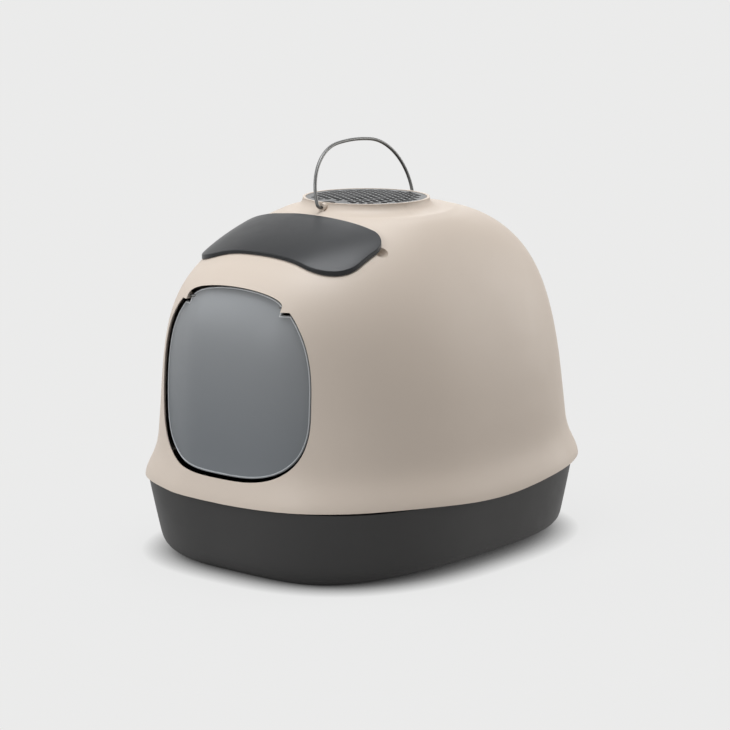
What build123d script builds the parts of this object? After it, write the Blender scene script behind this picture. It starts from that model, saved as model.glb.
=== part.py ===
from build123d import *

import os
from math import asin, atan2, cos, degrees, radians, sin

# Covered litter box: an open tray, a domed hood with a swinging flap, a lift-off lid over a
# scoop well, a vent cartridge in a round collar and a wire bail. Millimetres, +Z up, the flap
# faces -Y, and the origin is on the floor at the middle of the plan.

# Hood, outside sizes of the domed body above its flared lip
side_reach = 189.8
front_reach = 239.2
back_reach = 230.4
lip_height = 86.0
crown_height = 379.0
neck_radius = 84.0
hood_wall = 3.0

# How each side of the dome leans and turns over towards the crown
side_lean = 4.3
side_turn = 2.23
side_round = 1.65
front_lean = -19.6
front_turn = 6.7
front_round = 1.0
back_lean = 5.5
back_turn = 6.4
back_round = 1.8
front_square_low = 2.79
front_square_mid = 2.53
front_square_top = 2.8
back_square_low = 2.92
back_square_top = 2.62

# Flared lip that hangs over the tray, and the slow wave of its lower edge
flare_reach = 8.9
flare_height = 64.5
flare_bend = 1.47
lip_curl = 3.4
lip_curl_height = 14.0
lip_wave_mean = -0.5
lip_wave_two = -3.3
lip_wave_four = -3.2
side_dip_share = 0.74
end_dip_share = 0.9

# Tray
tray_height = 92.0
tray_wall = 3.0
tray_floor = 3.0
tray_side_tuck = 8.4
tray_end_tuck = 7.5
tray_side_taper = 3.8
tray_end_taper = 8.3
tray_side_foot = 51.0
tray_end_foot = 24.0
tray_foot_height = 24.0
tray_foot_bend = 2.2
tray_square_foot = 3.86
tray_square_wall = 2.5
tray_square_rim = 3.12

# The tray's shoulder under the lip and the upright neck that the hood sits on
tray_shoulder = 86.0
tray_neck_inset = 6.0

# Ledge inside the hood that rests on the tray's rim
seat_depth = 17.0
seat_thickness = 3.0

# Vent collar on the crown
collar_height = 391.0
collar_radius = 71.3
collar_wall = 3.2
collar_recess = 0.4
grille_thickness = 3.0
grille_clearance = 0.4
ledge_width = 5.4
ledge_thickness = 3.0

# Vent grille, its honeycomb mesh and its finger notch
mesh_radius = 62.0
mesh_pitch = 9.4
mesh_bar = 2.1
grille_crown = 2.5
notch_radius = 10.0
notch_depth = 9.5
notch_clear_width = 34.0

# Filter cage and carbon pad under the grille
cage_clearance = 0.8
cage_wall = 1.5
cage_depth = 13.0
pad_clearance = 0.5
pad_thickness = 10.0
pad_edge_round = 1.5
cage_slots = 16
cage_slot_width = 4.0
cage_hub_radius = 12.0
cage_rim_band = 7.0

# Wire bail
bail_wire = 1.9
bail_half_span = 83.0
bail_side_radius = 62.5
bail_side_turn = 82.5
bail_leg = 1.5
bail_elbow = 4.5
bail_pivot_drop = 5.0
bail_tip_inset = 1.2
bail_tip_clearance = 0.5
bail_boss_bite = 0.6
bail_hole_clearance = 0.08
bail_boss_radius = 4.6
bail_boss_reach = 5.4
bail_lean = 15.0

# Doorway in the hood's front
door_bottom = 111.0
door_half_width = 106.8
door_widest = 200.0
door_square_low = 3.1
door_flank_rise = 121.3
door_square_high = 2.5
door_notch_height = 296.0
door_neck_half_width = 68.0
door_shoulder = 300.5
door_top = 316.4
doorway_back = 185.0
doorway_rebate = 3.0
doorway_edge = 1.0

# Flap's gaps to the doorway and its place in the wall
flap_top_gap = 2.0
flap_notch_gap = 4.0
flap_corner_drop = 4.0
flap_side_gap = 3.4
flap_recess = 4.5
flap_thickness = 2.5

# Flap hinge: pins held in the flap's knuckles turn in bosses behind the doorway's corners
hinge_height = 299.0
hinge_depth = 215.7
pin_radius = 1.3
pin_clearance = 0.05
pin_bite = 9.0
pin_reach = 5.5
knuckle_radius = 3.6
knuckle_length = 12.0
boss_radius = 4.4
boss_length = 8.0
boss_gap = 0.7
boss_web = 10.0
pin_end_play = 0.5

# Lid over the scoop well, sized in plan
lid_half_width = 106.5
lid_front = 182.0
lid_back = 90.0
lid_back_bow = 5.0
lid_front_corner = 43.0
lid_back_corner = 20.0
lid_gap = 0.8
lid_thickness = 2.7
lid_edge_round = 1.3
lid_skirt_depth = 6.0
lid_skirt_wall = 1.5

# Scoop well let into the hood under the lid
well_lap = 8.0
well_flange = 3.2
well_flange_thickness = 1.5
well_clearance = 0.3
well_wall = 1.5
well_floor_height = 304.0
well_floor = 1.5

# Finger dimples in the hood beside the lid's ends
dimple_radius = 7.6
dimple_depth = 7.0
dimple_wall = 2.4
dimple_side = 107.2
dimple_back = 103.3
dimple_height = 349.3
dimple_lean = (0.64, -0.25, 0.72)

# Scoop that lies in the well
scoop_length = 170.0
scoop_width = 52.0
scoop_depth = 18.0
scoop_wall = 1.8
scoop_pan = 84.0
scoop_handle_width = 17.0
scoop_handle_height = 9.0
scoop_slots = 7
scoop_slot_width = 4.0
scoop_slot_length = 57.0
scoop_slot_spacing = 6.0
scoop_corner = 10.4
scoop_bowl_round = 5.4
scoop_handle_round = 3.0
scoop_clearance = 0.3

# The dome's centre line stands behind the middle of the plan, because the front reaches further
crown_y = (front_reach - back_reach) / 2
lip_reach = flare_reach + lip_curl
lip_side = side_reach + lip_reach
lip_end = (front_reach + back_reach) / 2 + lip_reach
ledge_top = collar_height - collar_recess - grille_thickness
bore_radius = collar_radius - collar_wall
ledge_radius = bore_radius - ledge_width
pivot_height = collar_height - bail_pivot_drop
hinge_y = crown_y - hinge_depth
quarter_steps = 6
flank_steps = 6
far = 600.0


def bowed(turn, power):
    """Cosine and sine of a squared-off circle, raised so that power 2 is a true circle."""
    return cos(turn) ** (2 / power), sin(turn) ** (2 / power)


def plan_ring(side, front, back, square_front, square_back, centre_y, height):
    """Closed wire of four tangent quarter curves; height(x, y) gives each point's level."""
    edges = []
    quarters = [(1, -1), (1, 1), (-1, 1), (-1, -1)]
    for across, along in quarters:
        reach = front if along < 0 else back
        power = square_front if along < 0 else square_back
        points = []
        for step in range(quarter_steps + 1):
            turn = radians(90 * step / quarter_steps)
            c, s = bowed(turn, power) if 0 < step < quarter_steps else (cos(turn), sin(turn))
            x = across * side * c
            y = along * reach * s
            points.append((x, centre_y + y, height(x, y)))
        tangents = [(0, along, 0), (-across, 0, 0)]
        if across * along < 0:
            points.reverse()
            tangents = [(across, 0, 0), (0, -along, 0)]
        knots = [step / quarter_steps for step in range(quarter_steps + 1)]
        edges.append(Edge.make_spline(points, tangents=tangents, parameters=knots))
    return Wire(edges)


def lip_wave(x, y):
    """Rise and fall of the lip's edge around the plan: low at mid sides, high at corners."""
    turn = atan2(y * side_reach / front_reach, x)
    return lip_wave_mean + lip_wave_two * cos(2 * turn) + lip_wave_four * cos(4 * turn)


def dome_sizes(height, grow):
    """Side, front and back reach and squareness of the dome at one height."""
    rise = max(0.0, (height - lip_height) / (crown_height - lip_height))
    neck = neck_radius + grow

    def reach(outer, lean, turn, roundness):
        fullness = max(0.0, 1 - rise**turn) ** (1 / roundness)
        return neck + (outer + grow - lean * rise - neck) * fullness

    side = reach(side_reach, side_lean, side_turn, side_round)
    front = reach(front_reach, front_lean, front_turn, front_round)
    back = reach(back_reach, back_lean, back_turn, back_round)
    low = (1 - rise) * (1 - 2 * rise)
    mid = 4 * rise * (1 - rise)
    top = rise * (2 * rise - 1)
    square_front = front_square_low * low + front_square_mid * mid + front_square_top * top
    square_back = back_square_low + (back_square_top - back_square_low) * rise
    settle = 1 - rise**8
    square_front = 2 + (square_front - 2) * settle
    square_back = 2 + (square_back - 2) * settle
    above = max(0.0, height - lip_height)
    fade = max(0.0, 1 - above / flare_height)
    curl = max(0.0, 1 - above / lip_curl_height)
    flare = flare_reach * fade**flare_bend + lip_curl * curl**2
    return side + flare, front + flare, back + flare, square_front, square_back, fade


def dome_ring(height, grow, waved=True, level=None):
    """One horizontal section of the dome, waved near the lip."""
    side, front, back, square_front, square_back, fade = dome_sizes(height, grow)
    lift = grow * max(0.0, (height - lip_height) / (crown_height - lip_height))
    base = height + lift if level is None else level
    sway = fade if waved else 0.0
    return plan_ring(side, front, back, square_front, square_back, crown_y,
                     lambda x, y: base + sway * lip_wave(x, y))


def dome(grow, top, foot=60.0):
    """Solid dome grown outwards by an amount, from a flat foot below the lip up to the collar."""
    rings = [dome_ring(lip_height - 12, grow, waved=False, level=foot)]
    steps = 20
    for step in range(-1, steps + 1):
        part = step / steps
        rise = 1 - (1 - part) ** 2 if part > 0 else part / 2.2
        rings.append(dome_ring(lip_height + rise * (crown_height - lip_height), grow))
    crown = crown_height + grow
    for share in (0.18, 0.42, 0.7, 1.0):
        height = crown + share * (top - crown)
        climb = (height - crown) / (collar_height + grow - crown)
        radius = collar_radius + grow + (neck_radius - collar_radius) * max(0.0, 1 - climb) ** 3
        rings.append(plan_ring(radius, radius, radius, 2, 2, crown_y, lambda x, y: height))
    return Solid.make_loft(rings)


def upright(radius, low, high, x=0.0, y=0.0):
    """Vertical cylinder between two heights."""
    return Pos(x, y, (low + high) / 2) * Cylinder(radius, high - low)


def crosswise(radius, low, high, y, z):
    """Cylinder along X between two places."""
    return Pos((low + high) / 2, y, z) * Rot(0, 90, 0) * Cylinder(radius, high - low)


def box_between(low, high):
    """Box between two corners."""
    middle = [(a + b) / 2 for a, b in zip(low, high)]
    return Pos(*middle) * Box(*[b - a for a, b in zip(low, high)])


def flank_points(side_gap, notch):
    """Points of the doorway's flank from the middle of its sill up to a height, and its lean there."""
    side = door_half_width - side_gap
    drop = door_widest - door_bottom - side_gap
    rise = door_flank_rise - side_gap
    points = [(0, door_widest - drop)]
    for step in range(1, flank_steps):
        c, s = bowed(radians(90 * step / flank_steps), door_square_low)
        points.append((side * s, door_widest - drop * c))
    points.append((side, door_widest))
    height = (notch - door_widest) / rise
    end = degrees(asin(height ** (door_square_high / 2)))
    for step in range(2, flank_steps + 1):
        c, s = bowed(radians(end * step / flank_steps), door_square_high)
        points.append((side * c, door_widest + rise * s))
    across = points[-1][0] / side
    lean = (-height ** (door_square_high - 1) / rise, across ** (door_square_high - 1) / side)
    return points, lean


def door_face(side_gap=0.0, notch_gap=0.0, top_gap=0.0, corner_drop=0.0):
    """Outline of the doorway in the XZ plane, drawn in by gaps at its sides, notches and top."""
    notch = door_notch_height - notch_gap
    neck = door_neck_half_width - top_gap
    spring = door_shoulder - corner_drop
    points, lean = flank_points(side_gap, notch)
    crown = EllipticalCenterArc((0, spring), neck, door_top - top_gap - spring,
                                start_angle=0, arc_size=180)
    flank = Spline(*points, tangents=[(1, 0), lean])
    half = [flank, Line(points[-1], (neck, notch)), Line((neck, notch), (neck, spring))]
    edges = [edge for curve in half for edge in curve.edges()]
    mirrored = [edge.mirror(Plane.YZ) for edge in edges]
    return Face(Wire(edges + crown.edges() + mirrored))


def door_prism(**gaps):
    """The doorway's outline carried through the front wall along Y."""
    upright_face = Plane.XZ * door_face(**gaps)
    return extrude(Pos(0, -doorway_back, 0) * upright_face, amount=far)


def lid_outline(inset):
    """The lid's plan, drawn in by an inset: round corners and a back edge bowed forwards."""
    side = lid_half_width - inset
    front = crown_y - lid_front + inset
    back = crown_y - lid_back - inset
    front_round = lid_front_corner - inset
    back_round = lid_back_corner - inset
    edges = [
        Line((0, front), (side - front_round, front)),
        RadiusArc((side - front_round, front), (side, front + front_round), -front_round),
        Line((side, front + front_round), (side, back - back_round)),
        RadiusArc((side, back - back_round), (side - back_round, back), -back_round),
    ]
    half = [edge for curve in edges for edge in curve.edges()]
    bow = ThreePointArc((side - back_round, back), (0, back - lid_back_bow), (back_round - side, back))
    mirrored = [edge.mirror(Plane.YZ) for edge in half]
    return Face(Wire(half + bow.edges() + mirrored))


def lid_prism(inset, low=295.0, high=450.0):
    """The lid's plan outline, drawn in by an inset, carried up between two heights."""
    return extrude(Pos(0, 0, low) * lid_outline(inset), amount=high - low)


def dimple_centre(side):
    """Centre of the ball that presses a finger dimple into the dome beside the lid."""
    lean_x, lean_y, lean_z = dimple_lean
    lift = dimple_radius - dimple_depth
    return (side * (dimple_side + lean_x * lift),
            crown_y - dimple_back + lean_y * lift,
            dimple_height + lean_z * lift)


def lip_knife():
    """Everything below the waved lower edge of the hood."""
    side_low = lip_height + lip_wave_mean + lip_wave_two + lip_wave_four
    end_low = lip_height + lip_wave_mean - lip_wave_two + lip_wave_four
    high = lip_height + lip_wave_mean - lip_wave_four
    block = box_between((-far, -far, 0), (far, far, high))

    def dip(low, reach, plane):
        edges = [
            Spline((-reach, high), (0, low), (reach, high), tangents=[(1, 0), (1, 0)]).edge(),
            Line((reach, high), (reach, high + 1)).edge(),
            Line((reach, high + 1), (-reach, high + 1)).edge(),
            Line((-reach, high + 1), (-reach, high)).edge(),
        ]
        return extrude(plane * Face(Wire(edges)), amount=far, both=True)

    side_dip = dip(side_low, lip_end * side_dip_share, Plane.YZ)
    end_dip = dip(end_low, lip_side * end_dip_share, Plane.XZ)
    return block - side_dip - end_dip


def tray_ring(height, shrink=0.0, level=None):
    """One horizontal section of the tray, drawn in by an amount."""
    share = height / tray_height
    foot = max(0.0, 1 - height / tray_foot_height) ** tray_foot_bend
    side = lip_side - tray_side_tuck - tray_side_taper * (1 - share) - tray_side_foot * foot
    end = lip_end - tray_end_tuck - tray_end_taper * (1 - share) - tray_end_foot * foot
    square = (tray_square_wall + (tray_square_rim - tray_square_wall) * share
              + (tray_square_foot - tray_square_wall) * foot)
    base = height if level is None else level
    return plan_ring(side - shrink, end - shrink, end - shrink, square, square, 0.0,
                     lambda x, y: base)


def tray_block(shrink, floor, top):
    """Solid with the tray's outer form, drawn in by an amount, from a floor to a top."""
    steps = 12
    rings = []
    for step in range(steps + 1):
        share = (step / steps) ** 1.6
        rings.append(tray_ring(tray_shoulder * share, shrink, floor + (top - floor) * share))
    return Solid.make_loft(rings)


def tray_neck(shrink, low, high):
    """Upright block above the shoulder, with the tray's plan at the rim."""
    face = Face(tray_ring(tray_height, tray_neck_inset + shrink, low))
    return extrude(face, amount=high - low)


def make_tray():
    """Open tray with a shoulder under the hood's lip and an upright neck."""
    under = tray_shoulder - tray_wall
    outer = tray_block(0.0, 0.0, tray_shoulder) + tray_neck(0.0, tray_shoulder, tray_height)
    inner = tray_block(tray_wall, tray_floor, under) + tray_neck(tray_wall, under, tray_height + 1)
    return outer - inner


def seat_ledge():
    """Flat ledge inside the hood that rests on the tray's rim."""
    outer = Face(dome_ring(tray_height + seat_thickness, -hood_wall / 2, waved=False, level=tray_height))
    inner = Face(dome_ring(tray_height + seat_thickness, -seat_depth, waved=False, level=tray_height))
    return extrude(outer, amount=seat_thickness) - extrude(inner, amount=seat_thickness)


def hinge_bosses():
    """Bosses behind the doorway's upper corners that hold the flap's pins."""
    start = door_neck_half_width
    bosses = []
    for side in (-1, 1):
        ends = sorted((side * start, side * (start + boss_length)))
        barrel = crosswise(boss_radius, ends[0], ends[1], hinge_y, hinge_height)
        web = box_between((ends[0], hinge_y - boss_web, hinge_height - pin_radius),
                          (ends[1], hinge_y, hinge_height + boss_radius))
        bosses.append(barrel + web)
    return bosses


def bail_hole(side):
    """Blind hole in the collar for one end of the bail."""
    tip = bore_radius + bail_tip_inset
    reach = collar_radius + 20
    hole = Pos(0, crown_y + side * (tip + reach) / 2, pivot_height) * Rot(90, 0, 0)
    return hole * Cylinder(bail_wire + bail_hole_clearance, reach - tip)


def bail_boss(side):
    """Round boss on the collar's wall around one of the bail's holes."""
    start = bore_radius + bail_boss_bite
    end = collar_radius + bail_boss_reach
    boss = Pos(0, crown_y + side * (start + end) / 2, pivot_height) * Rot(90, 0, 0)
    return boss * Cylinder(bail_boss_radius, end - start)


def make_hood(outer, inner):
    """Domed hood: shell, seat ledge, collar, bosses, doorway, well opening and dimples."""
    body = outer - inner
    body += seat_ledge()
    body -= lip_knife()
    widened = door_prism(side_gap=-doorway_rebate, notch_gap=-doorway_rebate, top_gap=-doorway_rebate)
    body -= widened & dome(-doorway_edge, collar_height - 2)
    skin = dome(-doorway_edge / 2, collar_height - 1)
    for boss in hinge_bosses():
        body += boss & skin
    for side in (-1, 1):
        body += Pos(*dimple_centre(side)) * Sphere(dimple_radius + dimple_wall) & outer
    for side in (-1, 1):
        body -= Pos(*dimple_centre(side)) * Sphere(dimple_radius)
        body += bail_boss(side)
    body -= upright(bore_radius, ledge_top, collar_height + 10, y=crown_y)
    body -= upright(ledge_radius, crown_height - 30, collar_height, y=crown_y)
    for side in (-1, 1):
        body -= bail_hole(side)
    body -= door_prism()
    start = door_neck_half_width
    for side in (-1, 1):
        ends = sorted((side * (start - 1), side * (start + pin_reach + pin_end_play)))
        body -= crosswise(pin_radius + pin_clearance, ends[0], ends[1], hinge_y, hinge_height)
    body -= lid_prism(well_lap + well_flange - well_clearance)
    rebate = lid_prism(well_lap - well_clearance) - dome(-well_flange_thickness - 0.1, collar_height)
    return body - rebate


def make_door_flap():
    """Bowed flap that follows the hood's face, with a knuckle at each upper corner."""
    outline = door_prism(side_gap=flap_side_gap, notch_gap=flap_notch_gap, top_gap=flap_top_gap,
                         corner_drop=flap_corner_drop)
    panel = outline & dome(-flap_recess, collar_height)
    panel -= dome(-flap_recess - flap_thickness, collar_height - 8, foot=58.0)
    skin = dome(-flap_recess - flap_thickness / 2, collar_height)
    start = door_neck_half_width - boss_gap
    for side in (-1, 1):
        ends = sorted((side * start, side * (start - knuckle_length)))
        panel += crosswise(knuckle_radius, ends[0], ends[1], hinge_y, hinge_height) & skin
    for side in (-1, 1):
        ends = sorted((side * (start + 1), side * (start - pin_bite)))
        panel -= crosswise(pin_radius, ends[0], ends[1], hinge_y, hinge_height)
    return panel


def make_hinge_pins():
    """The flap's two steel pins."""
    start = door_neck_half_width
    pins = []
    for side in (-1, 1):
        ends = sorted((side * (start - boss_gap - pin_bite), side * (start + pin_reach)))
        pins.append(crosswise(pin_radius, ends[0], ends[1], hinge_y, hinge_height))
    return Compound(pins)


def make_storage_lid():
    """Lid that lies on the shoulder, with a skirt that drops into the well's mouth."""
    lid = lid_prism(0.0) & dome(lid_gap + lid_thickness, collar_height + 6)
    top = lid.faces().sort_by(Axis.Z)[-2:]
    rim = [edge for edge in top.edges() if edge.bounding_box().size.X > lid_edge_round]
    lid = fillet(rim, lid_edge_round) - dome(lid_gap, collar_height + 1)
    skirt_inset = well_lap + well_flange + well_wall + well_clearance
    skirt = lid_prism(skirt_inset) - lid_prism(skirt_inset + lid_skirt_wall)
    skirt = skirt & dome(lid_gap + lid_thickness / 2, collar_height + 2)
    skirt -= dome(-lid_skirt_depth, collar_height - 8)
    return lid + skirt


def make_scoop_well(outer):
    """Cup let into the hood, hung on a flange that lies flush in a rebate."""
    flange = lid_prism(well_lap) & outer
    flange -= dome(-well_flange_thickness, collar_height - 4)
    floor = well_floor_height - well_floor
    cup = lid_prism(well_lap + well_flange, low=floor) & outer
    mouth = lid_prism(well_lap + well_flange + well_wall, low=well_floor_height)
    return flange + cup - mouth


def make_scoop():
    """Slotted scoop lying along the well with its handle towards +X."""
    base = well_floor_height + scoop_clearance
    middle = crown_y - (lid_front + lid_back) / 2
    left = -scoop_length / 2
    pan = box_between((left, -scoop_width / 2, 0), (left + scoop_pan, scoop_width / 2, scoop_depth))
    pan = fillet(pan.edges().filter_by(Axis.Z), scoop_corner)
    low_edges = pan.edges().group_by(Axis.Z)[0]
    pan = fillet(low_edges, scoop_bowl_round)
    hollow = box_between((left + scoop_wall, scoop_wall - scoop_width / 2, scoop_wall),
                         (left + scoop_pan - scoop_wall, scoop_width / 2 - scoop_wall, scoop_depth + 1))
    hollow = fillet(hollow.edges().filter_by(Axis.Z), scoop_corner - scoop_wall)
    hollow = fillet(hollow.edges().group_by(Axis.Z)[0], scoop_bowl_round - scoop_wall)
    scoop = pan - hollow
    for slot in range(scoop_slots):
        y = (slot - (scoop_slots - 1) / 2) * scoop_slot_spacing
        cutter = SlotOverall(scoop_slot_length, scoop_slot_width)
        place = Pos(left + scoop_pan / 2, y, -1)
        scoop -= extrude(place * cutter, amount=scoop_wall + 2)
    handle_start = left + scoop_pan - scoop_wall
    handle_low = scoop_depth - scoop_handle_height
    handle = box_between((handle_start, -scoop_handle_width / 2, handle_low),
                         (-left, scoop_handle_width / 2, scoop_depth))
    handle = fillet(handle.edges().filter_by(Axis.X), scoop_handle_round)
    return Pos(0, middle, base) * (scoop + handle)


def make_bail():
    """Wire bail in its upright plane, leant about the pins in the collar."""
    tip = bore_radius + bail_tip_inset + bail_tip_clearance
    turn = radians(bail_side_turn)
    top_radius = bail_side_radius + (bail_half_span - bail_side_radius) / cos(turn)
    top_centre = bail_leg + bail_elbow - (top_radius - bail_side_radius) * sin(turn)
    joint = (bail_half_span - bail_side_radius + bail_side_radius * cos(turn),
             bail_leg + bail_elbow + bail_side_radius * sin(turn))
    bend = radians(45)
    elbow_middle = (bail_half_span - bail_elbow + bail_elbow * sin(bend),
                    bail_elbow - bail_elbow * cos(bend))
    half = turn / 2
    side_middle = (bail_half_span - bail_side_radius + bail_side_radius * cos(half),
                   bail_leg + bail_elbow + bail_side_radius * sin(half))
    right = [
        Line((tip, 0), (bail_half_span - bail_elbow, 0)),
        ThreePointArc((bail_half_span - bail_elbow, 0), elbow_middle, (bail_half_span, bail_elbow)),
        Line((bail_half_span, bail_elbow), (bail_half_span, bail_elbow + bail_leg)),
        ThreePointArc((bail_half_span, bail_elbow + bail_leg), side_middle, joint),
    ]
    over = ThreePointArc(joint, (0, top_centre + top_radius), (-joint[0], joint[1]))
    edges = [curve.edge() for curve in right]
    left = [edge.mirror(Plane.YZ) for edge in edges]
    path = Plane.YZ * Wire(edges + [over.edge()] + left)
    section = Plane((0, tip, 0), x_dir=(1, 0, 0), z_dir=(0, 1, 0)) * Circle(bail_wire)
    wire = sweep(section, path=path)
    return Pos(0, crown_y, pivot_height) * Rot(0, -bail_lean, 0) * wire


def mesh_places():
    """Centres of the honeycomb's holes that lie in the mesh and clear of the finger notch."""
    reach = int(mesh_radius / mesh_pitch) + 2
    notch_end = notch_radius + notch_depth - (bore_radius - grille_clearance)
    places = []
    for column in range(-reach, reach + 1):
        x = column * mesh_pitch * cos(radians(30))
        for row in range(-reach, reach + 1):
            y = (row + (column % 2) / 2) * mesh_pitch
            in_mesh = (x * x + y * y) ** 0.5 < mesh_radius - (mesh_pitch - mesh_bar) / 2
            if in_mesh and (y > notch_end or abs(x) > notch_clear_width / 2):
                places.append((x, y))
    return places


def grille_cap(low):
    """Shallow cap over the cage's mouth, standing on a level above the ledge."""
    radius = ledge_radius - cage_clearance - cage_wall
    ball = (radius**2 + grille_crown**2) / (2 * grille_crown)
    shallow = Pos(0, 0, low + grille_crown - ball) * Sphere(ball)
    return upright(radius + 1, low, low + 2 * grille_crown) & shallow


def make_vent_grille():
    """Shallow domed disc with a honeycomb mesh and a finger notch at its front edge."""
    radius = bore_radius - grille_clearance
    disc = upright(radius, 0, grille_thickness) + grille_cap(grille_thickness) - grille_cap(0.0)
    hole = RegularPolygon((mesh_pitch - mesh_bar) / 2, 6, major_radius=False)
    holes = Sketch() + [Pos(x, y, -1) * hole for x, y in mesh_places()]
    disc -= extrude(holes, amount=grille_thickness + grille_crown + 2)
    notch = Pos(0, -radius - notch_radius + notch_depth, grille_thickness / 2)
    disc -= notch * Cylinder(notch_radius, grille_thickness * 2)
    return Pos(0, crown_y, ledge_top) * disc


def make_filter_cage():
    """Cup with a slotted floor that hangs below the grille and holds the carbon pad."""
    radius = ledge_radius - cage_clearance
    cup = upright(radius, -cage_depth, 0) - upright(radius - cage_wall, cage_wall - cage_depth, 1)
    length = radius - cage_rim_band - cage_hub_radius
    middle = cage_hub_radius + length / 2
    slots = []
    for slot in range(cage_slots):
        place = Rot(0, 0, 360 * slot / cage_slots) * Pos(middle, 0, -cage_depth)
        slots.append(place * Box(length, cage_slot_width, 4 * cage_wall))
    cup -= slots
    return Pos(0, crown_y, ledge_top) * cup


def make_carbon_filter():
    """Round pad of carbon felt in the cage."""
    radius = ledge_radius - cage_clearance - cage_wall - pad_clearance
    low = ledge_top - cage_depth + cage_wall + pad_clearance / 2
    pad = upright(radius, low, low + pad_thickness, y=crown_y)
    return fillet(pad.edges(), pad_edge_round)


outer_dome = dome(0.0, collar_height)
inner_dome = dome(-hood_wall, ledge_top - ledge_thickness, foot=55.0)

nodes = {
    "tray": make_tray(),
    "hood": make_hood(outer_dome, inner_dome),
    "door_flap": make_door_flap(),
    "door_hinge_pins": make_hinge_pins(),
    "storage_lid": make_storage_lid(),
    "scoop_well": make_scoop_well(outer_dome),
    "litter_scoop": make_scoop(),
    "bail_handle": make_bail(),
    "vent_grille": make_vent_grille(),
    "filter_cage": make_filter_cage(),
    "carbon_filter": make_carbon_filter(),
}

os.makedirs("parts", exist_ok=True)
for name, shape in nodes.items():
    export_step(shape, f"parts/{name}.step")
    box = shape.bounding_box()
    print(name, len(shape.solids()), "solids", round(shape.volume / 1000, 1), "cm3",
          [round(v, 1) for v in (box.min.X, box.min.Y, box.min.Z, box.max.X, box.max.Y, box.max.Z)])
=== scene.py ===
# %% [markdown]
# # A covered litter box in Blender
# The box has an open tray, a domed hood with a swinging flap, a lift-off lid over a scoop well,
# a round filter vent and a wire bail. Its solids come packed as a fixed frame, in metres, with
# the flap facing -Y. This notebook dresses that frame: it gives every surface its own finish,
# builds the repeated mesh of the vent and the rounded tray from rules, and adds the small
# rounded edges that catch the light.

from math import asin, cos, pi, radians, sin

import bmesh
import bpy
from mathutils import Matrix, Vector
from mathutils.bvhtree import BVHTree


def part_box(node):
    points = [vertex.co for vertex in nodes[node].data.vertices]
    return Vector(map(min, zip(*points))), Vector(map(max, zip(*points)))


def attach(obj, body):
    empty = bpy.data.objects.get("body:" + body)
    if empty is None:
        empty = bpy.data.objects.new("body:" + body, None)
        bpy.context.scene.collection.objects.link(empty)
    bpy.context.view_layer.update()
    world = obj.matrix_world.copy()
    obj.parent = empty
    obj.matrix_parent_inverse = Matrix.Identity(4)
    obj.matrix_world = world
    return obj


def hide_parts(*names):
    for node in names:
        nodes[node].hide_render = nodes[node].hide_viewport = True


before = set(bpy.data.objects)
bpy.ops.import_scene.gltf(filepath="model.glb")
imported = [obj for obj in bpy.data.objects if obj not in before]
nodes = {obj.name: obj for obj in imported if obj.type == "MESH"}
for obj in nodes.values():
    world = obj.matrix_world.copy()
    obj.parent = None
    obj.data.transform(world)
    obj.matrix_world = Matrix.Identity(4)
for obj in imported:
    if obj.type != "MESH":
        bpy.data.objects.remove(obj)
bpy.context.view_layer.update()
print("nodes:", ", ".join(sorted(nodes)))

# %% [markdown]
# ## Camera
# A long lens far away keeps the box's upright lines nearly parallel, as a product photographer
# would. The camera stands to the right of the flap, a little above the box, and its shift only
# sets the framing.

# %% Place the camera
view_azimuth = radians(39.74)
view_elevation = radians(10.97)
view_distance = 3.004
aim = Vector((0.0, 0.0044, 0.200))
back = Vector((
    sin(view_azimuth) * cos(view_elevation),
    -cos(view_azimuth) * cos(view_elevation),
    sin(view_elevation),
))

camera_data = bpy.data.cameras.new("product_camera")
camera_data.sensor_width = 36.0
camera_data.lens = 130.77
camera_data.shift_x = -0.0018
camera_data.shift_y = -0.0019
camera = bpy.data.objects.new("product_camera", camera_data)
camera.location = aim + back * view_distance
camera.rotation_mode = "QUATERNION"
camera.rotation_quaternion = (-back).to_track_quat("-Z", "Y")
bpy.context.scene.collection.objects.link(camera)
bpy.context.scene.camera = camera
print("camera at", [round(v, 3) for v in camera.location])

# %% [markdown]
# ## Helpers for node trees
# The world, the materials and the Geometry Nodes are all trees of nodes, built by adding nodes
# and joining sockets. These helpers keep that short: one joins a socket or sets a plain value,
# one adds any node with its settings and inputs, one adds a maths node, and one shows either of
# two shaders.

# %% Helpers for any node tree
def feed(tree, value, target):
    """Join a socket to an input, or set the input to a plain value."""
    if isinstance(value, bpy.types.NodeSocket):
        tree.links.new(value, target)
    else:
        target.default_value = value


def add(tree, kind, settings=None, **inputs):
    """New node with its settings and inputs; spaces in an input's name are written as _."""
    made = tree.nodes.new(kind)
    for key, value in (settings or {}).items():
        setattr(made, key, value)
    for key, value in inputs.items():
        feed(tree, value, made.inputs[key.replace("_", " ")])
    return made


def calc(tree, operation, *values):
    """Output of a maths node."""
    made = tree.nodes.new("ShaderNodeMath")
    made.operation = operation
    for place, value in enumerate(values):
        feed(tree, value, made.inputs[place])
    return made.outputs[0]


def show_either(tree, mask, first, second, end):
    """Send the first shader to an end node where the mask is 0, and the second where it is 1."""
    mix = tree.nodes.new("ShaderNodeMixShader")
    for place, value in enumerate((mask, first.outputs[0], second.outputs[0])):
        feed(tree, value, mix.inputs[place])
    feed(tree, mix.outputs[0], tree.nodes.new(end).inputs["Surface"])


print("helpers for node trees ready")

# %% [markdown]
# ## Light
# The studio is soft: a strong lamp overhead brightens the crown and the lid, one in front of the
# flap and one on its left brighten the flap's side, one behind on the right lifts the long
# side's far end, one behind on the left glints in the lid, and the world fills the rest. Rays
# that the camera, a mirror or clear plastic sends straight out see the pale paper of the studio.

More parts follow.
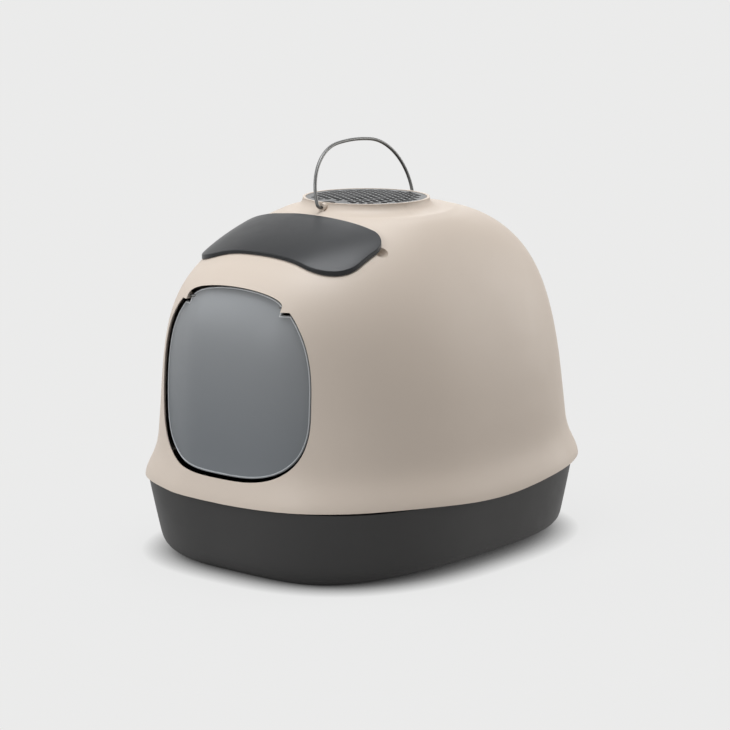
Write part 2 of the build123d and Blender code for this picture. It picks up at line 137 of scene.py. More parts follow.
# %% Build the world and the lamps
paper = (0.831, 0.831, 0.828, 1.0)
fill_colour = (1.0, 0.965, 0.93, 1.0)
fill_strength = 0.085
daylight = (0.98, 1.0, 1.03)
lamplight = (1.0, 0.97, 0.94)


def light_rays(tree):
    """Mask that is 1 on rays that should see the bare paper, and 0 on rays that carry light."""
    path = tree.nodes.new("ShaderNodeLightPath").outputs
    through = calc(tree, "MAXIMUM", path["Is Camera Ray"], path["Is Transmission Ray"])
    return calc(tree, "MAXIMUM", through, path["Is Glossy Ray"])


def build_world():
    world = bpy.data.worlds.new("studio")
    bpy.context.scene.world = world
    world.use_nodes = True
    tree = world.node_tree
    tree.nodes.clear()
    fill = add(tree, "ShaderNodeBackground", Color=fill_colour, Strength=fill_strength)
    seen = add(tree, "ShaderNodeBackground", Color=paper)
    show_either(tree, light_rays(tree), fill, seen, "ShaderNodeOutputWorld")


def soft_lamp(name, place, size, power, colour):
    """Square area lamp that looks at the middle of the box."""
    data = bpy.data.lights.new(name, "AREA")
    data.shape = "SQUARE"
    data.size = size
    data.energy = power
    data.color = colour
    lamp = bpy.data.objects.new(name, data)
    lamp.location = place
    lamp.rotation_mode = "QUATERNION"
    lamp.rotation_quaternion = (Vector(place) - aim).to_track_quat("Z", "Y")
    bpy.context.scene.collection.objects.link(lamp)


build_world()
soft_lamp("top", (0.1, -0.1, 2.9), size=1.7, power=64.0, colour=daylight)
soft_lamp("left", (-2.3, -1.6, 1.7), size=1.4, power=24.0, colour=daylight)
soft_lamp("front", (-0.2, -2.9, 1.5), size=1.4, power=31.0, colour=daylight)
soft_lamp("rear", (1.35, 2.7, 0.9), size=1.4, power=32.0, colour=lamplight)
soft_lamp("rim", (-1.4, 2.3, 2.2), size=1.2, power=12.0, colour=daylight)
bpy.context.scene.view_settings.view_transform = "Standard"

# %% [markdown]
# ## The grain of moulded plastic
# The hood, tray, lid and vent come out of spark-eroded moulds, which leave a fine even grain
# and a very slow drift in tone. Several finishes need it, so it is a shader node group that puts
# out a colour, a roughness and a height. Each material keeps its own Principled BSDF.

# %% Helpers for patterns
noise_low, noise_high = 0.3, 0.7


def noise(tree, place, scale, detail, roughness=0.5):
    """Value of a noise texture; a larger scale makes it finer."""
    made = add(tree, "ShaderNodeTexNoise", Vector=place, Scale=scale, Detail=detail,
               Roughness=roughness)
    return made.outputs["Fac"]


def spread(tree, value, low, high):
    """Turn a noise value, which keeps to the middle of 0 to 1, into a range."""
    made = add(tree, "ShaderNodeMapRange", Value=value, From_Min=noise_low, From_Max=noise_high,
               To_Min=low, To_Max=high)
    return made.outputs["Result"]


def blend(tree, amount, low, high):
    """Colour between a low and a high one; the mix node takes colours at sockets 6 and 7."""
    made = add(tree, "ShaderNodeMix", {"data_type": "RGBA"})
    for place, value in ((0, amount), (6, low), (7, high)):
        feed(tree, value, made.inputs[place])
    return made.outputs[2]


print("pattern helpers ready")

# %% Make the grain group
drift_scale = 7.0
polish_scale = 38.0
grain_scale = 900.0
grain_share = 0.3
polish_swing = 0.03


def socket(group, name, kind, default=None, output=False):
    made = group.interface.new_socket(
        name=name, in_out="OUTPUT" if output else "INPUT", socket_type="NodeSocket" + kind)
    if default is not None:
        made.default_value = default


def make_grain_group():
    """Grain group: tone drift on a colour, roughness around a middle value, and a fine height."""
    group = bpy.data.node_groups.new("moulded_grain", "ShaderNodeTree")
    socket(group, "Colour", "Color", (0.5, 0.5, 0.5, 1.0))
    socket(group, "Drift", "Float", 0.04)
    socket(group, "Roughness", "Float", 0.5)
    socket(group, "Grain Scale", "Float", grain_scale)
    for name, kind in (("Colour", "Color"), ("Roughness", "Float"), ("Height", "Float")):
        socket(group, name, kind, output=True)
    enter = group.nodes.new("NodeGroupInput").outputs
    leave = group.nodes.new("NodeGroupOutput").inputs
    place = group.nodes.new("ShaderNodeTexCoord").outputs["Object"]
    fine = noise(group, place, enter["Grain Scale"], detail=2.0)
    slow = noise(group, place, drift_scale, detail=3.0)
    cloud = noise(group, place, polish_scale, detail=4.0, roughness=0.6)

    both = calc(group, "MULTIPLY_ADD", slow, 1.0 - grain_share,
                calc(group, "MULTIPLY", fine, grain_share))
    darker = calc(group, "SUBTRACT", 1.0, enter["Drift"])
    lighter = calc(group, "ADD", 1.0, enter["Drift"])
    tint = add(group, "ShaderNodeVectorMath", {"operation": "SCALE"},
               Scale=spread(group, both, darker, lighter))
    feed(group, enter["Colour"], tint.inputs[0])
    swing = spread(group, cloud, -polish_swing, polish_swing)
    feed(group, tint.outputs[0], leave["Colour"])
    feed(group, calc(group, "ADD", enter["Roughness"], swing), leave["Roughness"])
    feed(group, fine, leave["Height"])
    return group


grain_group = make_grain_group()
print("grain group sockets:", [item.name for item in grain_group.interface.items_tree])

# %% [markdown]
# ## Finishes
# A material is one Principled BSDF. Its plain numbers sit on its own sockets, and only what
# changes over the surface comes through links: the tone, the roughness and the bump.

# %% Helpers for a new material
def new_material(name):
    """Empty material with a Principled BSDF. Returns the material, its tree and the shader."""
    material = bpy.data.materials.new(name)
    material.use_nodes = True
    tree = material.node_tree
    tree.nodes.clear()
    shader = tree.nodes.new("ShaderNodeBsdfPrincipled")
    feed(tree, shader.outputs["BSDF"], tree.nodes.new("ShaderNodeOutputMaterial").inputs["Surface"])
    return material, tree, shader


def add_bump(tree, shader, height, distance):
    bump = add(tree, "ShaderNodeBump", Height=height, Distance=distance, Strength=1.0)
    feed(tree, bump.outputs["Normal"], shader.inputs["Normal"])


def moulded_plastic(name, colour, roughness, drift, shine):
    """Matt moulded plastic with the shared grain; shine is its specular level."""
    material, tree, shader = new_material(name)
    grains = add(tree, "ShaderNodeGroup", {"node_tree": grain_group}, Colour=colour, Drift=drift,
                 Roughness=roughness, Grain_Scale=grain_scale)
    feed(tree, grains.outputs["Colour"], shader.inputs["Base Color"])
    feed(tree, grains.outputs["Roughness"], shader.inputs["Roughness"])
    shader.inputs["Specular IOR Level"].default_value = shine
    add_bump(tree, shader, grains.outputs["Height"], distance=0.00003)
    return material


print("material helpers ready")

# %% Mix the plastics
hood_beige = moulded_plastic(
    "hood_beige", (0.60, 0.515, 0.435, 1.0), roughness=0.5, drift=0.02, shine=0.4)
tray_charcoal = moulded_plastic(
    "tray_charcoal", (0.034, 0.033, 0.032, 1.0), roughness=0.52, drift=0.06, shine=0.3)
lid_charcoal = moulded_plastic(
    "lid_charcoal", (0.012, 0.013, 0.0145, 1.0), roughness=0.35, drift=0.06, shine=0.3)
vent_charcoal = moulded_plastic(
    "vent_charcoal", (0.060, 0.060, 0.060, 1.0), roughness=0.34, drift=0.05, shine=0.5)
print("plastics:", hood_beige.name, tray_charcoal.name, lid_charcoal.name, vent_charcoal.name)

# %% [markdown]
# The flap is smoked acrylic with a satin face. Its edges get a paler colour than the face, a
# painted highlight for the light that goes into the sheet and comes out at its edges. The face
# lets a little of the dark inside through, so it has an alpha below one. Both colours carry
# painted shading, lighter at the top and darker towards the foot, with a slow sway in where it
# changes.

# %% Mix the smoked acrylic
flap_low, flap_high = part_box("door_flap")
acrylic_ior = 1.49
tone_sway = 0.06
acrylic_swing = 0.02
tone_foot = flap_low.z + 0.03
tone_head = flap_high.z + 0.02


def smoked_acrylic(name, lit_top_colour, shaded_foot_colour, alpha, roughness):
    """See-through satin plastic with painted shading: darker at the flap's foot, lighter at its
    top.
    """
    material, tree, shader = new_material(name)
    place = tree.nodes.new("ShaderNodeTexCoord").outputs["Object"]
    height = add(tree, "ShaderNodeSeparateXYZ", Vector=place).outputs["Z"]
    cloud = noise(tree, place, scale=5.0, detail=3.0)
    sway = calc(tree, "MULTIPLY_ADD", cloud, tone_sway, height)
    level = add(tree, "ShaderNodeMapRange", {"interpolation_type": "SMOOTHSTEP"}, Value=sway,
                From_Min=tone_foot, From_Max=tone_head)
    # Painted shading: the colour blends from the shaded foot colour up to the lit top colour.
    tone = blend(tree, level.outputs["Result"], shaded_foot_colour, lit_top_colour)
    polish = spread(tree, noise(tree, place, scale=60.0, detail=3.0),
                    roughness - acrylic_swing, roughness + acrylic_swing)
    feed(tree, tone, shader.inputs["Base Color"])
    feed(tree, polish, shader.inputs["Roughness"])
    shader.inputs["Alpha"].default_value = alpha
    shader.inputs["IOR"].default_value = acrylic_ior
    add_bump(tree, shader, noise(tree, place, scale=700.0, detail=2.0), distance=0.00001)
    return material


# The face's two colours are painted shading, lit at the top and shaded at the foot.
flap_face = smoked_acrylic(
    "smoked_acrylic", (0.235, 0.243, 0.248, 1.0), (0.150, 0.162, 0.172, 1.0),
    alpha=0.93, roughness=0.5)
# The edge's pale colours are a painted highlight for light piped along the rounded edge, with the
# same painted shading from foot to top.
flap_edge_painted_highlight = smoked_acrylic(
    "acrylic_edge_painted_highlight", (0.52, 0.53, 0.53, 1.0), (0.42, 0.44, 0.45, 1.0),
    alpha=0.9, roughness=0.22)
print("flap from", round(flap_low.z, 4), "to", round(flap_high.z, 4))

# %% [markdown]
# ## Steel wire and carbon felt
# The wire is dark-plated: it mirrors the studio, but far dimmer than bright steel would, with
# faint drawn lines and a slightly uneven polish. The carbon pad is needled felt: short dark
# fibres that run every way, with a soft sheen.

# %% Mix the steel and the felt
def polished_steel():
    material, tree, shader = new_material("polished_steel")
    place = tree.nodes.new("ShaderNodeTexCoord").outputs["Object"]
    cloud = noise(tree, place, scale=120.0, detail=4.0, roughness=0.6)
    tone = blend(tree, cloud, (0.10, 0.10, 0.098, 1.0), (0.15, 0.15, 0.147, 1.0))
    feed(tree, tone, shader.inputs["Base Color"])
    feed(tree, spread(tree, cloud, low=0.32, high=0.4), shader.inputs["Roughness"])
    shader.inputs["Metallic"].default_value = 1.0
    add_bump(tree, shader, noise(tree, place, scale=2200.0, detail=2.0), distance=0.000001)
    return material


def needled_felt():
    material, tree, shader = new_material("carbon_felt")
    place = tree.nodes.new("ShaderNodeTexCoord").outputs["Object"]
    turn = add(tree, "ShaderNodeMapping", Vector=place, Scale=(1.0, 6.0, 1.0))
    fibres = noise(tree, turn.outputs[0], scale=500.0, detail=6.0, roughness=0.7)
    tufts = noise(tree, place, scale=140.0, detail=5.0, roughness=0.6)
    tone = blend(tree, fibres, (0.008, 0.008, 0.008, 1.0), (0.045, 0.045, 0.046, 1.0))
    feed(tree, tone, shader.inputs["Base Color"])
    feed(tree, spread(tree, tufts, low=0.85, high=1.0), shader.inputs["Roughness"])
    shader.inputs["Sheen Weight"].default_value = 0.25
    add_bump(tree, shader, fibres, distance=0.0004)
    return material


steel = polished_steel()
felt = needled_felt()
print("metal and felt:", steel.name, felt.name)

# %% [markdown]
# ## Geometry Nodes in a script
# A geometry tree has named inputs for its sizes. One helper makes such a tree, one ends it, and
# one runs it on an object and keeps the plain mesh. The export drops live instances, so every
# tree ends by making them real.

# %% Helpers for Geometry Nodes trees
def new_tree(name, **inputs):
    """Geometry tree with a Geometry input and output, and one named input for each size."""
    tree = bpy.data.node_groups.new(name, "GeometryNodeTree")
    tree.interface.new_socket(name="Geometry", in_out="INPUT", socket_type="NodeSocketGeometry")
    for key, kind in inputs.items():
        tree.interface.new_socket(
            name=key.replace("_", " ").title(), in_out="INPUT", socket_type="NodeSocket" + kind)
    tree.interface.new_socket(name="Geometry", in_out="OUTPUT", socket_type="NodeSocketGeometry")
    return tree, tree.nodes.new("NodeGroupInput").outputs


def end_tree(tree, shape, finish):
    """Smooth the shape, make its instances real, give it its material and put it out."""
    smooth = add(tree, "GeometryNodeSetShadeSmooth", Geometry=shape)
    real = add(tree, "GeometryNodeRealizeInstances", Geometry=smooth.outputs[0])
    done = add(tree, "GeometryNodeSetMaterial", Geometry=real.outputs[0], Material=finish)
    feed(tree, done.outputs[0], tree.nodes.new("NodeGroupOutput").inputs["Geometry"])
    return tree


def link_object(name, mesh):
    made = bpy.data.objects.new(name, mesh)
    bpy.context.scene.collection.objects.link(made)
    return made


def run_tree(start, tree, name, **values):
    """Object whose plain mesh is what the tree makes of the start object."""
    modifier = start.modifiers.new("rule", "NODES")
    modifier.node_group = tree
    known = {item.name: item.identifier for item in tree.interface.items_tree
             if item.in_out == "INPUT"}
    for key, value in values.items():
        modifier[known[key.replace("_", " ").title()]] = value
    bpy.context.view_layer.update()
    evaluated = start.evaluated_get(bpy.context.evaluated_depsgraph_get())
    mesh = bpy.data.meshes.new_from_object(evaluated)
    start.modifiers.remove(modifier)
    bpy.data.objects.remove(start)
    mesh.name = name
    return link_object(name, mesh)


def point_object(name, points, faces=(), edges=()):
    """Object from points, edges and faces, linked to the scene."""
    mesh = bpy.data.meshes.new(name)
    mesh.from_pydata(points, edges, faces)
    return link_object(name, mesh)


print("helpers for geometry ready")

# %% [markdown]
# ## The tray
# The tray is one bowl whose plan is a squared-off ellipse at every level. Its side turns under
# to a smaller foot, and under the hood's lip it steps in to an upright neck. A flat grid holds
# five values at each point: the turn round the plan, the level, the level that sets the shape
# there, the distance in from the outside and the share of the reach. The tree works out the
# place from those five, so one rule shapes outside, rim, inside and floor.

# %% Walk the tray's section
tray_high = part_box("tray")[1]
tray_wall = 0.003
tray_shoulder = 0.086
tray_neck_inset = 0.006
tray_turns = 288
wall_steps = 16
wall_gather = 1.6
floor_shares = (0.0, 0.5, 0.96)


def wall_shares():
    """Shares of the wall's height, close together near the foot, where it turns most."""
    return [(step / wall_steps) ** wall_gather for step in range(wall_steps + 1)]


def tray_section():
    """Section points: level, level that sets the shape, distance in, share of the reach."""
    under = tray_shoulder - tray_wall
    inside = tray_wall + tray_neck_inset
    points = [(0.0, 0.0, 0.0, share) for share in floor_shares]
    points += [(tray_shoulder * share, tray_shoulder * share, 0.0, 1.0) for share in wall_shares()]
    for level, shrink in ((tray_shoulder, tray_neck_inset), (tray_high.z, tray_neck_inset),
                          (tray_high.z, inside), (under, inside)):
        points.append((level, tray_high.z, shrink, 1.0))
    for share in reversed(wall_shares()):
        level = tray_wall + (under - tray_wall) * share
        points.append((level, tray_shoulder * share, tray_wall, 1.0))
    points += [(tray_wall, 0.0, tray_wall, share) for share in reversed(floor_shares)]
    return points


section = tray_section()
print("section points:", len(section))

# %% Build the tray's tree
seam_gap = 0.00002


def tray_tree():
    tree, size = new_tree(
        "tray_rule", side_reach="Float", end_reach="Float", height="Float", side_taper="Float",
        end_taper="Float", side_foot="Float", end_foot="Float", foot_height="Float",
        foot_bend="Float", square_foot="Float", square_wall="Float", square_rim="Float",
        finish="Material")

    def read(name):
        kind = {"data_type": "FLOAT"}
        return add(tree, "GeometryNodeInputNamedAttribute", kind, Name=name).outputs[0]

    turn, level, shape, shrink, share = map(read, ("turn", "level", "shape", "shrink", "share"))
    rise = calc(tree, "DIVIDE", shape, size["Height"])
    fall = calc(tree, "SUBTRACT", 1.0, rise)
    left = calc(tree, "SUBTRACT", 1.0, calc(tree, "DIVIDE", shape, size["Foot Height"]))
    foot = calc(tree, "POWER", calc(tree, "MAXIMUM", left, 0.0), size["Foot Bend"])

    def reach(full, taper, under):
        drawn = calc(tree, "SUBTRACT", full, calc(tree, "MULTIPLY", taper, fall))
        tucked = calc(tree, "SUBTRACT", drawn, calc(tree, "MULTIPLY", under, foot))
        return calc(tree, "MULTIPLY", calc(tree, "SUBTRACT", tucked, shrink), share)

    gain = calc(tree, "SUBTRACT", size["Square Rim"], size["Square Wall"])
    bulge = calc(tree, "SUBTRACT", size["Square Foot"], size["Square Wall"])
    square = calc(tree, "MULTIPLY_ADD", gain, rise, size["Square Wall"])
    square = calc(tree, "MULTIPLY_ADD", bulge, foot, square)
    power = calc(tree, "DIVIDE", 2.0, square)

    def squared(wave):
        bulk = calc(tree, "POWER", calc(tree, "ABSOLUTE", wave), power)
        return calc(tree, "MULTIPLY", bulk, calc(tree, "SIGN", wave))

    side = reach(size["Side Reach"], size["Side Taper"], size["Side Foot"])
    end = reach(size["End Reach"], size["End Taper"], size["End Foot"])
    place = add(tree, "ShaderNodeCombineXYZ",
                X=calc(tree, "MULTIPLY", side, squared(calc(tree, "COSINE", turn))),
                Y=calc(tree, "MULTIPLY", end, squared(calc(tree, "SINE", turn))), Z=level)
    moved = add(tree, "GeometryNodeSetPosition", Geometry=size["Geometry"],
                Position=place.outputs[0])
    joined = add(tree, "GeometryNodeMergeByDistance", Geometry=moved.outputs[0],
                 Distance=seam_gap)
    return end_tree(tree, joined.outputs[0], size["Finish"])


tray_rule = tray_tree()
print("tray tree nodes:", len(tray_rule.nodes))

# %% Lay the tray's grid and run the tree
doubles = 0.000005
sharp_angle = 40


def set_values(mesh, name, values):
    mesh.attributes.new(name, "FLOAT", "POINT").data.foreach_set("value", values)


def tray_grid():
    """Grid of section points by turns, with the five values of the rule at each point."""
    rows, columns = len(section), tray_turns + 1
    points = [(column / columns, row / rows, 0.0)
              for row in range(rows) for column in range(columns)]
    faces = []
    for row in range(rows - 1):
        for column in range(columns - 1):
            corner = row * columns + column
            faces.append((corner, corner + 1, corner + 1 + columns, corner + columns))
    grid = point_object("tray_grid", points, faces)
    turns = [2 * pi * column / tray_turns for column in range(columns)]
    set_values(grid.data, "turn", turns * rows)
    for place, name in enumerate(("level", "shape", "shrink", "share")):
        set_values(grid.data, name, [row[place] for row in section for _ in range(columns)])
    return grid


def face_outwards(thing):
    """Merge doubles and point every face outwards."""
    work = bmesh.new()
    work.from_mesh(thing.data)
    bmesh.ops.remove_doubles(work, verts=work.verts, dist=doubles)
    bmesh.ops.dissolve_degenerate(work, edges=work.edges, dist=doubles)
    bmesh.ops.recalc_face_normals(work, faces=work.faces)
    work.to_mesh(thing.data)
    work.free()


def round_edges(thing, width, segments):
    """Bevel modifier on the sharp edges."""
    bevel = thing.modifiers.new("rounded_edges", "BEVEL")
    bevel.width = width
    bevel.segments = segments
    bevel.limit_method = "ANGLE"
    bevel.angle_limit = radians(sharp_angle)
    bevel.harden_normals = True


tray = run_tree(
    tray_grid(), tray_rule, "tray_bowl", side_reach=0.1937, end_reach=0.2396,
    height=tray_high.z, side_taper=0.0038, end_taper=0.0083, side_foot=0.051, end_foot=0.024,
    foot_height=0.024, foot_bend=2.2, square_foot=3.86, square_wall=2.5, square_rim=3.12,
    finish=tray_charcoal)
face_outwards(tray)
round_edges(tray, width=0.0008, segments=3)
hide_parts("tray")
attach(tray, "tray")
print("tray faces:", len(tray.data.polygons))

# %% [markdown]
# ## The wire bail
# The handle is one length of round wire: straight pins that turn in the collar, a small elbow on
# each side and three tangent arcs over the top. Its path is worked out from those arcs, and a
# tree carries a circle along it, because a swept curve keeps the wire round and smooth in every
# bend. The same tree later makes the bead of the flap.

# %% Build the tube's tree
def tube_tree():
    tree, size = new_tree(
        "tube_rule", radius="Float", sides="Int", closed_ends="Bool", finish="Material")
    path = add(tree, "GeometryNodeMeshToCurve", Mesh=size["Geometry"])
    ring = add(tree, "GeometryNodeCurvePrimitiveCircle", Radius=size["Radius"],
               Resolution=size["Sides"])
    tube = add(tree, "GeometryNodeCurveToMesh", Curve=path.outputs[0],
               Profile_Curve=ring.outputs[0], Fill_Caps=size["Closed Ends"])
    return end_tree(tree, tube.outputs[0], size["Finish"])


tube_rule = tube_tree()
print("tube tree nodes:", len(tube_rule.nodes))

# %% Work out the bail's path
crown_y = 0.0044
pivot_height = 0.386
bail_wire = 0.0019
bail_lean = radians(15)
pin_start = 0.0698
half_span = 0.083
elbow = 0.0045
leg = 0.0015
side_radius = 0.0625
side_turn = radians(82.5)
elbow_steps, side_steps, top_steps = 10, 60, 8


def arc(centre_x, centre_y, radius, start, end, steps):
    """Points of an arc between two angles, both ends included."""
    turns = [start + (end - start) * step / steps for step in range(steps + 1)]
    return [(centre_x + radius * cos(turn), centre_y + radius * sin(turn)) for turn in turns]


def bail_half():
    """Across and up from the pin on one side to the top of the bail."""
    top_radius = side_radius + (half_span - side_radius) / cos(side_turn)
    top_centre = leg + elbow - (top_radius - side_radius) * sin(side_turn)
    points = [(pin_start, 0.0)]
    points += arc(half_span - elbow, elbow, elbow, -pi / 2, 0.0, elbow_steps)
    points += arc(half_span - side_radius, leg + elbow, side_radius, 0.0, side_turn, side_steps)
    points += arc(0.0, top_centre, top_radius, side_turn, pi / 2, top_steps)[1:]
    return points


def bail_path():
    half = bail_half()
    whole = half + [(-across, up) for across, up in reversed(half[:-1])]
    return [(-up * sin(bail_lean), crown_y + across, pivot_height + up * cos(bail_lean))
            for across, up in whole]


path = bail_path()
links = [(step, step + 1) for step in range(len(path) - 1)]
bail = run_tree(point_object("bail_path", path, edges=links), tube_rule, "bail_wire",
                radius=bail_wire, sides=20, closed_ends=True, finish=steel)
face_outwards(bail)
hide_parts("bail_handle")
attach(bail, "bail")

# %% [markdown]
# ## The vent's mesh
# The vent is a disc with a honeycomb of six-sided holes, domed a little over the filter, with a
# notch for a fingertip at its front edge. A tree puts one prism on each point of the honeycomb,
# trims them to a round field, cuts them all out of the disc in one go and then lifts the dome.
# A small bevel rounds the bars, which is what makes each crossing catch the light.

# %% Build the vent's tree
cell_turn = radians(30)
edge_share = -0.3
disc_facets, field_facets, notch_facets = 192, 128, 64


def vent_tree():
    tree, size = new_tree(
        "vent_rule", radius="Float", thickness="Float", pitch="Float", bar="Float",
        mesh_radius="Float", notch_radius="Float", notch_depth="Float", clear_width="Float",
        crown="Float", cap_radius="Float", rows="Int", place="Vector", finish="Material")
    index = tree.nodes.new("GeometryNodeInputIndex").outputs[0]
    half = calc(tree, "FLOOR", calc(tree, "DIVIDE", size["Rows"], 2.0))
    column = calc(tree, "FLOOR", calc(tree, "DIVIDE", index, size["Rows"]))
    column = calc(tree, "SUBTRACT", column, half)
    row = calc(tree, "SUBTRACT", calc(tree, "MODULO", index, size["Rows"]), half)
    odd = calc(tree, "FLOORED_MODULO", column, 2.0)
    x = calc(tree, "MULTIPLY", calc(tree, "MULTIPLY", column, size["Pitch"]), cos(cell_turn))
    y = calc(tree, "MULTIPLY", calc(tree, "MULTIPLY_ADD", odd, 0.5, row), size["Pitch"])
    count = calc(tree, "MULTIPLY", size["Rows"], size["Rows"])
    spots = add(tree, "GeometryNodePoints", Count=count,
                Position=add(tree, "ShaderNodeCombineXYZ", X=x, Y=y).outputs[0])

    where = tree.nodes.new("GeometryNodeInputPosition").outputs[0]
    parts = add(tree, "ShaderNodeSeparateXYZ", Vector=where).outputs
    across, along = parts["X"], parts["Y"]
    square = calc(tree, "MULTIPLY_ADD", across, across, calc(tree, "MULTIPLY", along, along))
    away = calc(tree, "SQRT", square)
    apothem = calc(tree, "MULTIPLY", calc(tree, "SUBTRACT", size["Pitch"], size["Bar"]), 0.5)
    outermost = calc(tree, "MULTIPLY_ADD", apothem, edge_share, size["Mesh Radius"])
    in_mesh = calc(tree, "LESS_THAN", away, outermost)
    notch_end = calc(tree, "SUBTRACT", calc(tree, "ADD", size["Notch Radius"], size["Notch Depth"]),
                     size["Radius"])
    behind = calc(tree, "GREATER_THAN", along, notch_end)
    beside = calc(tree, "GREATER_THAN", calc(tree, "ABSOLUTE", across),
                  calc(tree, "MULTIPLY", size["Clear Width"], 0.5))
    keep = calc(tree, "MULTIPLY", in_mesh, calc(tree, "MAXIMUM", behind, beside))

    tall = calc(tree, "MULTIPLY", size["Thickness"], 3.0)
    prism = add(tree, "GeometryNodeMeshCylinder", Vertices=6, Depth=tall,
                Radius=calc(tree, "DIVIDE", apothem, cos(cell_turn)))
    holes = add(tree, "GeometryNodeInstanceOnPoints", Points=spots.outputs[0],
                Instance=prism.outputs["Mesh"], Selection=keep)
    field = add(tree, "GeometryNodeMeshCylinder", Vertices=field_facets, Radius=size["Mesh Radius"],
                Depth=calc(tree, "MULTIPLY", size["Thickness"], 2.0))
    trimmed = add(tree, "GeometryNodeMeshBoolean", {"operation": "INTERSECT", "solver": "EXACT"})
    prisms = add(tree, "GeometryNodeRealizeInstances", Geometry=holes.outputs[0])
    tree.links.new(prisms.outputs[0], trimmed.inputs[1])
    tree.links.new(field.outputs["Mesh"], trimmed.inputs[1])
    round_cut = add(tree, "GeometryNodeMeshCylinder", Vertices=notch_facets, Depth=tall,
                    Radius=size["Notch Radius"])
    reach = calc(tree, "ADD", size["Radius"], size["Notch Radius"])
    notch_y = calc(tree, "SUBTRACT", size["Notch Depth"], reach)
    moved = add(tree, "GeometryNodeTransform", Geometry=round_cut.outputs["Mesh"],
                Translation=add(tree, "ShaderNodeCombineXYZ", Y=notch_y).outputs[0])
    cuts = tree.nodes.new("GeometryNodeJoinGeometry")
    tree.links.new(trimmed.outputs[0], cuts.inputs[0])
    tree.links.new(moved.outputs[0], cuts.inputs[0])
    disc = add(tree, "GeometryNodeMeshCylinder", Vertices=disc_facets, Radius=size["Radius"],
               Depth=size["Thickness"])
    cut = add(tree, "GeometryNodeMeshBoolean", {"operation": "DIFFERENCE", "solver": "EXACT"})
    tree.links.new(disc.outputs["Mesh"], cut.inputs[0])
    tree.links.new(cuts.outputs[0], cut.inputs[1])

    part = calc(tree, "DIVIDE", away, size["Cap Radius"])
    dome = calc(tree, "SUBTRACT", 1.0, calc(tree, "MULTIPLY", part, part))
    rise = calc(tree, "MAXIMUM", dome, 0.0)
    lift = add(tree, "ShaderNodeCombineXYZ", Z=calc(tree, "MULTIPLY", rise, size["Crown"]))
    domed = add(tree, "GeometryNodeSetPosition", Geometry=cut.outputs[0], Offset=lift.outputs[0])
    placed = add(tree, "GeometryNodeTransform", Geometry=domed.outputs[0],
                 Translation=size["Place"])
    return end_tree(tree, placed.outputs[0], size["Finish"])


vent_rule = vent_tree()
print("vent tree nodes:", len(vent_rule.nodes))

# %% Run the vent's tree
grille_low, grille_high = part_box("vent_grille")
grille_thickness = 0.003
vent = run_tree(
    point_object("vent_start", [(0, 0, 0)]), vent_rule, "vent_mesh",
    radius=(grille_high.x - grille_low.x) / 2, thickness=grille_thickness, pitch=0.0094,
    bar=0.0021, mesh_radius=0.062, notch_radius=0.010, notch_depth=0.0095, clear_width=0.034,
    crown=0.0025, cap_radius=0.0604, rows=18,
    place=(0.0, crown_y, grille_low.z + grille_thickness / 2), finish=vent_charcoal)
face_outwards(vent)
round_edges(vent, width=0.0003, segments=2)
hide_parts("vent_grille")
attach(vent, "vent")
print("vent faces:", len(vent.data.polygons))

# %% [markdown]
# ## The flap's bead
# The flap's edge is rounded and polished. The bead models that rounded edge, and its pale colour
# is a painted highlight for the light the edge pipes, so it shows as a pale line just inside the
# dark gap. The doorway's outline is a squared-off curve at the sill and the flanks, a step at
# each hinge and half an ellipse over the top. The same curve, drawn in by the flap's gaps, is
# laid on the flap's front face by a ray, and the tube's tree turns it into a slim bead.

# %% Work out the flap's outline
bead_radius = 0.0009
bead_inset = 0.0012
bead_sink = 0.0003
sill_height = 0.111
half_width = 0.1068
widest_height = 0.200
sill_square = 3.1
flank_rise = 0.1213
flank_square = 2.5
step_height = 0.296
neck_half_width = 0.068
spring_height = 0.3005
crown_top = 0.3164
top_gap = 0.002
step_gap = 0.004
side_gap = 0.0034
corner_drop = 0.004
sill_steps, flank_steps, crown_steps = 32, 16, 16


def squared_off(turn, power):
    """Cosine and sine of a squared-off circle."""
    return cos(turn) ** (2 / power), sin(turn) ** (2 / power)


def flap_outline(inset):
    """Closed outline of the flap in the upright plane, drawn in by an inset."""
    side = half_width - side_gap - inset
    drop = widest_height - sill_height - side_gap - inset
    rise = flank_rise - side_gap - inset
    step_level = step_height - step_gap - inset
    neck = neck_half_width - top_gap - inset
    spring = spring_height - corner_drop
    crown = crown_top - top_gap - inset - spring
    half = [(0.0, widest_height - drop)]
    for step in range(1, sill_steps):
        c, s = squared_off(pi / 2 * step / sill_steps, sill_square)
        half.append((side * s, widest_height - drop * c))
    end = asin(((step_level - widest_height) / rise) ** (flank_square / 2))
    for step in range(flank_steps + 1):
        c, s = squared_off(end * step / flank_steps, flank_square)
        half.append((side * c, widest_height + rise * s))
    half.append((neck, step_level))
    for step in range(crown_steps + 1):
        turn = pi / 2 * step / crown_steps
        half.append((neck * cos(turn), spring + crown * sin(turn)))
    return half + [(-x, z) for x, z in reversed(half[1:-1])]


print("outline points:", len(flap_outline(bead_inset)))

# %% Lay the bead on the flap
def on_front(node, outline, sink):
    """The outline's points laid on a node's front face, sunk into it a little."""
    tree = BVHTree.FromPolygons([v.co for v in nodes[node].data.vertices],
                                [f.vertices for f in nodes[node].data.polygons])
    points = []
    for x, z in outline:
        hit = tree.ray_cast(Vector((x, -1.0, z)), Vector((0.0, 1.0, 0.0)))[0]
        points.append((x, hit.y + sink, z))
    return points


guide = on_front("door_flap", flap_outline(bead_inset), bead_sink)
loop = [(step, (step + 1) % len(guide)) for step in range(len(guide))]
# The bead is the real rounded edge; its pale finish is a painted highlight.
bead = run_tree(point_object("bead_guide", guide, edges=loop), tube_rule, "flap_bead",
                radius=bead_radius, sides=10, closed_ends=False, finish=flap_edge_painted_highlight)
face_outwards(bead)
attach(bead, "door")
print("bead faces:", len(bead.data.polygons))

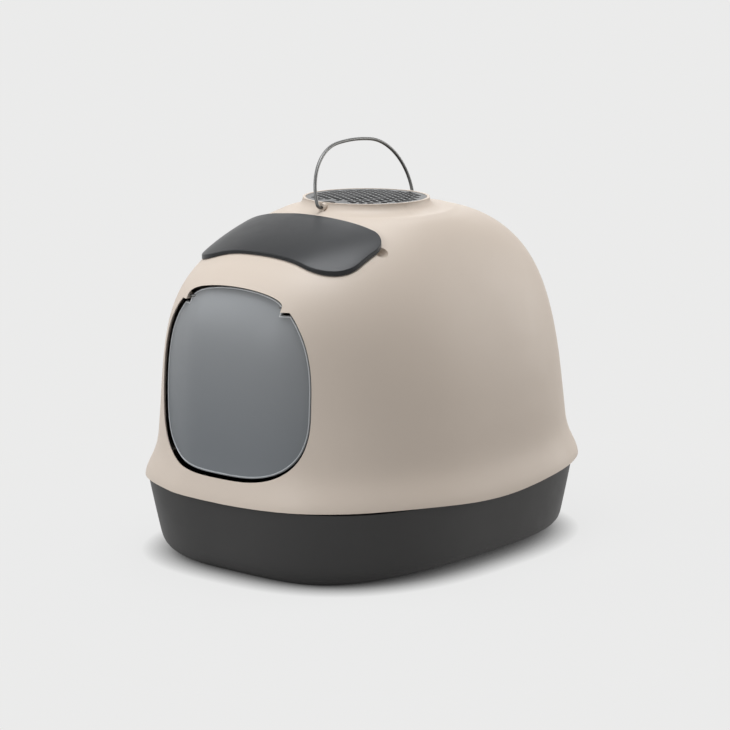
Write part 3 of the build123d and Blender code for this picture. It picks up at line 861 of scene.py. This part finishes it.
# %% [markdown]
# ## Finishes for the solids
# The other solids already have the right shape. Each keeps its mesh and gets its finish by
# putting the material in its slot.

# %% Dress the solids
def dress(node, material):
    mesh = nodes[node].data
    mesh.materials.clear()
    mesh.materials.append(material)


dress("hood", hood_beige)
dress("door_flap", flap_face)
dress("storage_lid", lid_charcoal)
dress("scoop_well", lid_charcoal)
dress("litter_scoop", vent_charcoal)
dress("filter_cage", vent_charcoal)
dress("carbon_filter", felt)
dress("door_hinge_pins", steel)
print("dressed:", sum(1 for o in nodes.values() if o.data.materials), "solids")

# %% [markdown]
# ## Studio floor
# The floor is plain pale paper. The camera sees the paper's own tone with a painted contact
# shadow, darker where the box stands close over it, and a share of the lamps' real soft shadow.
# Further out it fades into the bare paper that the camera sees all round, so no horizon shows.
# Other rays meet a plain lit floor, which throws a little light back under the lip.

# %% Lay the paper floor
shadow_reach = 0.03
shadow_depth = 0.9
lit_share = 0.08
fade_start = 0.30
fade_end = 0.60
floor_half = 6.0


def paper_floor():
    material = bpy.data.materials.new("paper")
    material.use_nodes = True
    tree = material.node_tree
    tree.nodes.clear()
    lit = add(tree, "ShaderNodeBsdfDiffuse", Color=(0.72, 0.72, 0.72, 1.0))
    # Painted contact shadow: ambient occlusion darkens the paper tone that the camera sees close
    # under the box.
    near = add(tree, "ShaderNodeAmbientOcclusion", {"samples": 16}, Distance=shadow_reach)
    depth = calc(tree, "POWER", near.outputs["AO"], shadow_depth)
    painted_contact_shadow = add(tree, "ShaderNodeVectorMath", {"operation": "SCALE"}, Scale=depth)
    painted_contact_shadow.inputs[0].default_value = paper[:3]
    bare = add(tree, "ShaderNodeEmission", Color=painted_contact_shadow.outputs[0])
    place = tree.nodes.new("ShaderNodeTexCoord").outputs["Object"]
    away = add(tree, "ShaderNodeVectorMath", {"operation": "LENGTH"})
    feed(tree, place, away.inputs[0])
    fade = add(tree, "ShaderNodeMapRange", {"interpolation_type": "SMOOTHSTEP"},
               Value=away.outputs["Value"], From_Min=fade_start, From_Max=fade_end,
               To_Min=1.0 - lit_share, To_Max=1.0)
    mask = calc(tree, "MULTIPLY", fade.outputs["Result"], light_rays(tree))
    show_either(tree, mask, lit, bare, "ShaderNodeOutputMaterial")
    corners = [(x * floor_half, y * floor_half, 0) for x, y in ((-1, -1), (1, -1), (1, 1), (-1, 1))]
    floor = point_object("paper_floor", corners, [(0, 1, 2, 3)])
    floor.data.materials.append(material)


paper_floor()
print("floor laid")
